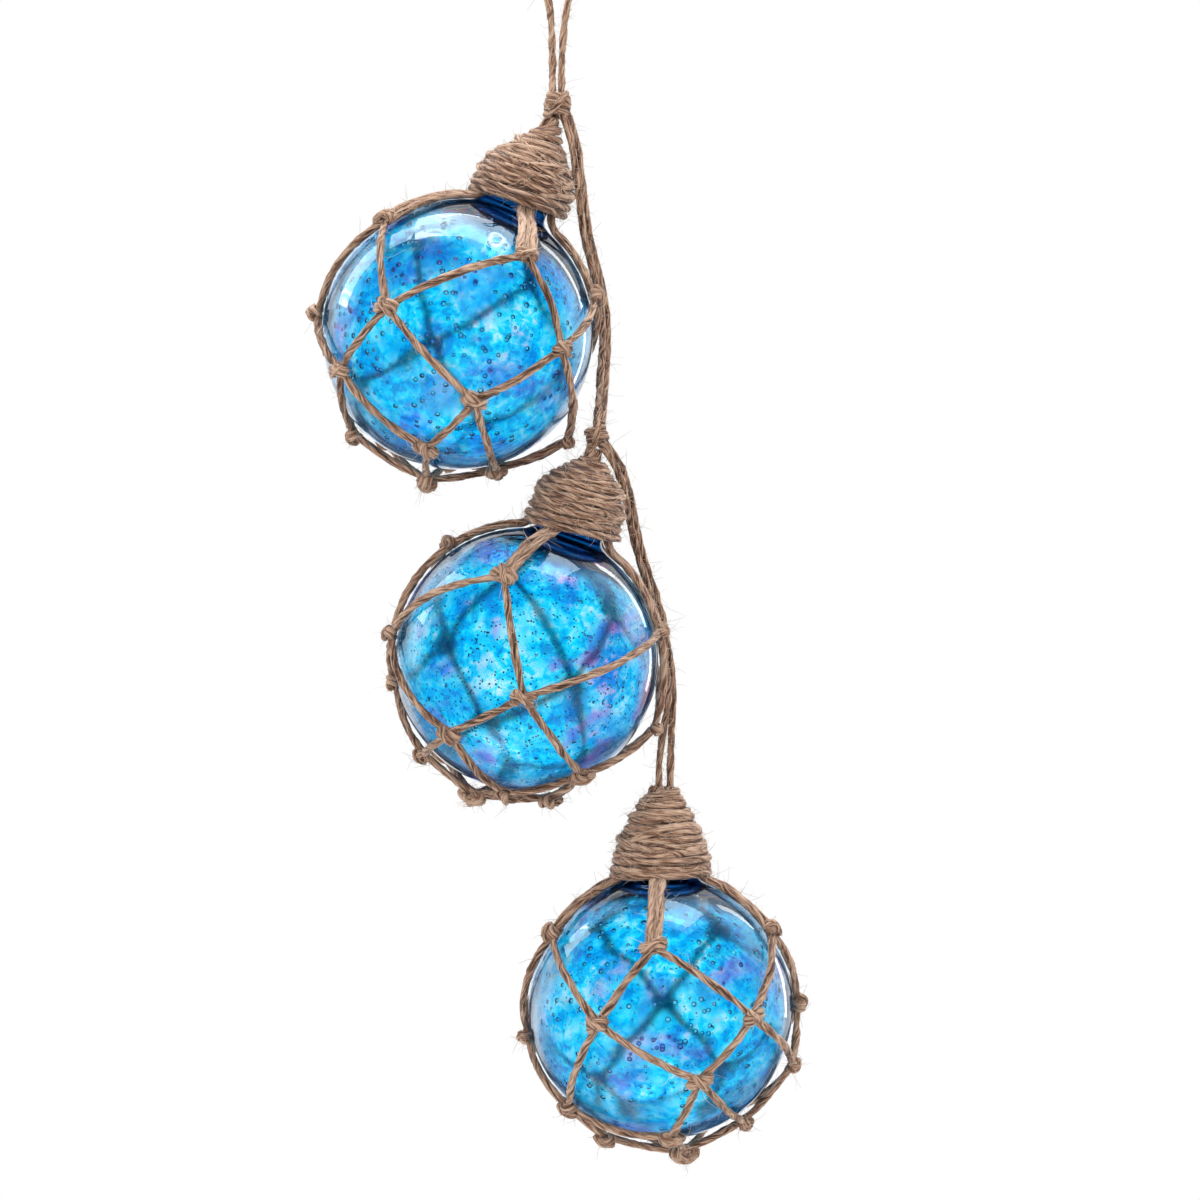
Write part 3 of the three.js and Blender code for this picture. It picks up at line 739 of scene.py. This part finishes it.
def blownGlass():
    # Shade is read as inner wall, painted rim shade and painted navy shade; lay as how much
    # painted lustre reflection the float took.
    material = bpy.data.materials.new("blown sea-blue glass")
    tree = emptyTree(material)
    place = addNode(tree, "ShaderNodeTexCoord").outputs["Object"]
    shade = addNode(tree, "ShaderNodeAttribute", {"attribute_name": "shade"})
    parts = addNode(tree, "ShaderNodeSeparateXYZ", links={0: shade.outputs["Vector"]})
    cloud, mottle, film = [addNode(tree, "ShaderNodeTexNoise", {
        "Scale": 1 / (glassLook[size] * metresPerMm), **settings},
        {"Vector": place}).outputs["Fac"]
        for size, settings in (
            ("cloudMm", {"Detail": 2.0, "Distortion": 0.6}),
            ("mottleMm", {"Detail": 4.0, "Roughness": 0.65, "Distortion": 0.4}),
            ("lustreMm", {"Detail": 1.0}))]
    both = addNode(tree, "ShaderNodeMix", {"data_type": "FLOAT", 0: glassLook["mottleShare"]},
                   {2: cloud, 3: mottle})
    colour = addNode(tree, "ShaderNodeValToRGB", {"stops": colourStops(glassLook, [
        (0.42, "ink"), (0.465, "deep"), (0.51, "cyan"), (0.545, "haze"), (0.575, "pale")])},
        {0: both.outputs[0]})
    # strong pink painted into the colour where the film is thick: painted reflection of the
    # lustre, by how much each float took
    fumed = addNode(tree, "ShaderNodeMapRange", {
        "From Min": 0.6, "From Max": 0.69, "To Min": 0.0, "To Max": glassLook["pinkGlintShare"]},
        {"Value": film})
    amount = addNode(tree, "ShaderNodeAttribute", {"attribute_name": "lay"})
    taken = addNode(tree, "ShaderNodeMath", {"operation": "MULTIPLY"},
                    {0: fumed.outputs[0], 1: amount.outputs["Fac"]})
    pinkGlint = addNode(tree, "ShaderNodeMix", {
        "data_type": "RGBA", 7: linearColour(glassLook["pinkGlint"])},
        {0: taken.outputs[0], 6: colour.outputs[0]})
    # navy near the neck and in the fine seeds: painted shade, with the thick wall's deeper blue
    neck = addNode(tree, "ShaderNodeMix", {
        "data_type": "RGBA", 7: linearColour(glassLook["navy"])},
        {0: parts.outputs["Z"], 6: pinkGlint.outputs[2]})
    # the outer wall's colour: clear, with lilac and pink patches of painted lustre reflection
    lustre = addNode(tree, "ShaderNodeValToRGB", {"stops": colourStops(glassLook, [
        (0.58, "clear"), (0.63, "lilac"), (0.69, "pink"), (0.75, "lilac")])},
        {0: film})
    inside = addNode(tree, "ShaderNodeMix", {"data_type": "RGBA"}, {
        0: parts.outputs["X"], 6: lustre.outputs[0], 7: neck.outputs[2]})
    # painted shade at grazing edges: round every seed, and on the outer wall partly the longer
    # path through the glass
    facing = addNode(tree, "ShaderNodeLayerWeight", {"Blend": 0.5})
    edge = addNode(tree, "ShaderNodeMath", {"operation": "POWER", 1: glassLook["rimShadePower"]},
                   {0: facing.outputs["Facing"]})
    rim = addNode(tree, "ShaderNodeMath", {"operation": "MULTIPLY"},
                  {0: edge.outputs[0], 1: parts.outputs["Y"]})
    tinted = addNode(tree, "ShaderNodeMix", {
        "data_type": "RGBA", 7: linearColour(glassLook["rimShadeBlue"])},
        {0: rim.outputs[0], 6: inside.outputs[2]})
    filmDepth = addNode(tree, "ShaderNodeMapRange", {
        "From Min": 0.53, "From Max": 0.75, "To Min": 0.0, "To Max": glassLook["lustreNm"]},
        {"Value": film})                                   # the lustre took in patches only
    frit = addNode(tree, "ShaderNodeMath", {
        "operation": "MULTIPLY_ADD", 1: glassLook["frit"], 2: glassLook["polish"]},
        {0: parts.outputs["X"]})                           # the inner face isn't fire-polished
    shader = addNode(tree, "ShaderNodeBsdfPrincipled", {
        "IOR": glassLook["ior"], "Transmission Weight": 1.0,
        "Thin Film IOR": glassLook["lustreIor"]},
        {"Base Color": tinted.outputs[2], "Roughness": frit.outputs[0],
         "Thin Film Thickness": filmDepth.outputs[0]})
    depth = addNode(tree, "ShaderNodeVolumeAbsorption", {
        "Color": linearColour(glassLook["absorb"]), "Density": glassLook["density"]})
    addNode(tree, "ShaderNodeOutputMaterial",
            links={"Surface": shader.outputs[0], "Volume": depth.outputs[0]})
    return material


glass = blownGlass()


def lumpyNoise(points, size, rng):    # a smooth field from a few random waves
    total = np.zeros(len(points))
    for _ in range(9):
        wave = unit(rng.normal(size=3)) * fullTurn / (size * rng.uniform(0.7, 1.6))
        total += np.sin(points @ wave + rng.random() * anyPhase)
    return total / 3


def shellPart(profile, rng, swell, swellMm, inward):   # one face of the blown wall
    part = turnedPart(profile, glassLook["sides"])
    verts, shade = part["verts"], part["shade"]
    fromTop = np.arctan2(np.hypot(verts[:, 0], verts[:, 1]), verts[:, 2])
    # painted navy shade near the neck, in full on the outer face under the cap, with the thick
    # wall's deeper blue
    capShadeNearNeck = np.exp(-(fromTop / glassLook["navyShadeAngle"]) ** 4)
    part["verts"] = verts + unit(verts) * (swell * lumpyNoise(verts, swellMm, rng))[:, None]
    if inward:
        part["quads"], part["tris"] = part["quads"][:, ::-1], part["tris"][:, ::-1]
    shade[:, 0] = 1.0 if inward else np.minimum(glassLook["navyShadeOutside"] * capShadeNearNeck, 1)
    # the outer wall's grazing edge is painted deeper blue: painted shade, partly the longer path
    # through the glass
    shade[:, 1] = 0.0 if inward else glassLook["outerRimShade"]
    shade[:, 2] = capShadeNearNeck
    return part


def bubbleParts(toward, far, radii, look):             # hollows inside the wall
    angles = np.linspace(math.pi, 0, look["steps"] + 2)
    one = turnedPart(np.stack([np.sin(angles), np.cos(angles)], axis=1), look["sides"])
    first = unit(np.cross(toward, aslant))
    corner = one["verts"][None, :, :, None] * radii[:, None, None, None]
    verts = (toward * far[:, None])[:, None, :] + (
        corner[:, :, 0] * first[:, None] + corner[:, :, 1] * np.cross(toward, first)[:, None]
        + look["flat"] * corner[:, :, 2] * toward[:, None])
    offsets = (np.arange(len(toward)) * len(one["verts"]))[:, None, None]
    verts = verts.reshape(-1, 3)
    return {"verts": verts, "lay": verts,
            "shade": np.tile(np.array(look["shade"], float), (len(verts), 1)),
            "quads": (one["quads"][None, :, ::-1] + offsets).reshape(-1, 4),
            "tris": (one["tris"][None, :, ::-1] + offsets).reshape(-1, 3)}


def glassParts(ball, rng):
    radius, wall, neck = ball["radius"], glassLook["wall"], netLook["neckRadius"]
    top, foot = radius + glassLook["neckRise"], math.asin(neck / radius)
    outer = [(radius * math.sin(a), radius * math.cos(a))
             for a in np.linspace(math.pi, foot + glassLook["neckFillet"], glassLook["rings"])]
    outer[0] = (0, -radius)
    fillet = smoothPath([(outer[-1][0], 0, outer[-1][1]), (neck + 0.9, 0, radius - 0.4),
                         (neck + 0.1, 0, radius + 1.4), (neck, 0, top - 1)], 0.5)[1:]
    outer += [(p[0], p[2]) for p in fillet] + [(neck - glassLook["neckRound"], top), (0, top)]
    inner = []
    for a in np.linspace(math.pi, 0, glassLook["rings"]):   # thicker up at the shoulder
        thick = wall + glassLook["shoulder"] * math.exp(-(a / glassLook["shoulderAngle"]) ** 2)
        inner.append(((radius - thick) * math.sin(a), (radius - thick) * math.cos(a)))
    inner[0], inner[-1] = (0, inner[0][1]), (0, inner[-1][1])
    parts = [shellPart(outer, rng, glassLook["ripple"], glassLook["rippleMm"], False),
             shellPart(inner, rng, glassLook["wobble"], glassLook["wobbleMm"], True)]
    for kind, (count, small, large) in ball["bubbles"].items():
        toward = unit(rng.normal(size=(count, 3)))
        toward = toward[toward[:, 2] < glassLook["bubblesBelow"]]
        spread = glassLook["bubbleSpread"]
        far = radius - wall / 2 + rng.uniform(-spread, spread, len(toward))
        radii = rng.uniform(small, large, len(toward))
        parts.append(bubbleParts(toward, far, radii, bubbleLook[kind]))
    # lay carries the float's share of painted lustre reflection
    for part in parts:
        part["lay"] = np.full((len(part["verts"]), 3), ball["lustre"])
    return parts


for ball in floats:
    rng = np.random.default_rng(ball["seed"] + 200)
    makePiece(f"float_{ball['name']}_glass", moved(glassParts(ball, rng), ball["place"]), glass,
              [f"glass_float_{ball['name']}"])
    print("glass blown:", ball["name"])


# Soft studio: a white surround that is lit from behind for the glass, a darker room in its
# reflections, and softboxes. A lamp is seen in the gloss, lights the twine, or does both.
studioLook = {
    "aim": (10, 0, -200), "sky": (0.82, 0.93, 1.0), "backlight": 0.32, "lowShade": 0.85,
    "room": [(0.0, (0.02, 0.1, 0.28, 1)), (0.55, (0.03, 0.12, 0.3, 1)),
             (0.72, (1.0, 1.0, 1.0, 1)), (1.0, (1.1, 1.1, 1.1, 1))],   # from front to back
    "floorZ": -900, "floorRadius": 2200, "floorRoughness": 0.85,
    "rollerDark": "#EDEDEC", "rollerLight": "#F6F6F5", "rollerMm": 48.89,
}
softboxes = {
    "overhead_softbox": {"at": (50, 150, 750), "size": (900, 500), "watts": 7,
                         "colour": studioLook["sky"]},
    "left_strip": {"at": (-1000, 500, 750), "size": (400, 1300), "watts": 7, "lights": False,
                   "colour": studioLook["sky"]},
    "right_strip": {"at": (950, 1100, 200), "size": (140, 1500), "watts": 3, "lights": False},
    "top_fill": {"at": (50, 100, 900), "size": (1200, 1200), "watts": 7.5, "reflects": False},
    "front_softbox": {"at": (-700, -1300, 500), "size": (900, 900), "watts": 4,
                      "reflects": False},
}


def studioWorld():
    world = bpy.data.worlds.new("studio")
    tree = emptyTree(world)
    ray = addNode(tree, "ShaderNodeLightPath")
    reflected = addNode(tree, "ShaderNodeMath", {"operation": "GREATER_THAN", 1: 0.5},
                        {0: ray.outputs["Glossy Depth"]})
    toward = addNode(tree, "ShaderNodeTexCoord").outputs["Generated"]
    axes = addNode(tree, "ShaderNodeSeparateXYZ", links={0: toward})
    half = addNode(tree, "ShaderNodeMath", {"operation": "MULTIPLY_ADD", 1: 0.5, 2: 0.5},
                   {0: axes.outputs["Y"]})
    below = addNode(tree, "ShaderNodeMath", {"operation": "MINIMUM", 1: 0.0},
                    {0: axes.outputs["Z"]})
    level = addNode(tree, "ShaderNodeMath", {
        "operation": "MULTIPLY_ADD", 1: studioLook["lowShade"]},
        {0: below.outputs[0], 2: half.outputs[0]})         # the sweep is darker low down
    room = addNode(tree, "ShaderNodeValToRGB", {"stops": studioLook["room"]},
                   {0: level.outputs[0]})
    mixed = addNode(tree, "ShaderNodeMix", {"data_type": "RGBA", 6: (1, 1, 1, 1)},
                    {0: reflected.outputs[0], 7: room.outputs[0]})
    through = addNode(tree, "ShaderNodeMath", {"operation": "GREATER_THAN", 1: 0.5},
                      {0: ray.outputs["Transmission Depth"]})
    backlit = addNode(tree, "ShaderNodeMath", {
        "operation": "MULTIPLY_ADD", 1: studioLook["backlight"], 2: 1.0},
        {0: through.outputs[0]})                           # the sweep behind is lit for the glass
    glow = addNode(tree, "ShaderNodeBackground",
                   links={"Color": mixed.outputs[2], "Strength": backlit.outputs[0]})
    addNode(tree, "ShaderNodeOutputWorld", links={0: glow.outputs[0]})
    scene.world = world


def makeSoftbox(name, box):
    lamp = bpy.data.lights.new(name, "AREA")
    wide, tall = box["size"]
    lamp.shape, lamp.size, lamp.size_y = "RECTANGLE", wide * metresPerMm, tall * metresPerMm
    lamp.energy, lamp.color = box["watts"], box.get("colour", (1, 1, 1))
    lampObject = bpy.data.objects.new(name, lamp)
    here, there = [Vector([v * metresPerMm for v in spot])
                   for spot in (box["at"], studioLook["aim"])]
    lampObject.location = here
    lampObject.rotation_euler = (there - here).to_track_quat("-Z", "Y").to_euler()
    reflects, lights = box.get("reflects", True), box.get("lights", True)
    lampObject.visible_camera = False
    lampObject.visible_glossy = reflects
    lampObject.visible_transmission = reflects and lights
    lampObject.visible_diffuse = lights
    scene.collection.objects.link(lampObject)


# Painted studio floor: matt white with a faint roller texture, coarser than real so that
# it shows.
def studioPaint():
    material = bpy.data.materials.new("painted studio floor")
    tree = emptyTree(material)
    roller = addNode(tree, "ShaderNodeTexNoise", {
        "Scale": 2 * studioLook["floorRadius"] / studioLook["rollerMm"], "Detail": 3.0})
    colour = addNode(tree, "ShaderNodeValToRGB", {"stops": colourStops(studioLook, [
        (0.3, "rollerDark"), (0.7, "rollerLight")])}, {0: roller.outputs["Fac"]})
    shader = addNode(tree, "ShaderNodeBsdfPrincipled", {
        "Roughness": studioLook["floorRoughness"]}, {"Base Color": colour.outputs[0]})
    addNode(tree, "ShaderNodeOutputMaterial", links={0: shader.outputs[0]})
    return material


studioWorld()
for name, box in softboxes.items():
    makeSoftbox(name, box)

floorMesh = bpy.data.meshes.new("studio_floor")
angle, wide = fullTurn * np.arange(64) / 64, studioLook["floorRadius"]
rim = np.stack([wide * np.cos(angle), wide * np.sin(angle),
                np.full(len(angle), studioLook["floorZ"])], axis=1)
floorMesh.from_pydata((rim * metresPerMm).tolist(), [], [list(range(len(angle)))])
floorMesh.materials.append(studioPaint())
studioFloor = bpy.data.objects.new("studio_floor", floorMesh)
scene.collection.objects.link(studioFloor)
studioFloor.visible_glossy = False    # the glass reflects the dark room, not the floor

scene.view_settings.view_transform = "Standard"
scene.cycles.caustics_reflective = False
scene.cycles.caustics_refractive = True   # light reaches the net behind the glass
scene.cycles.transmission_bounces = 16
scene.cycles.max_bounces = 18
print("studio set")
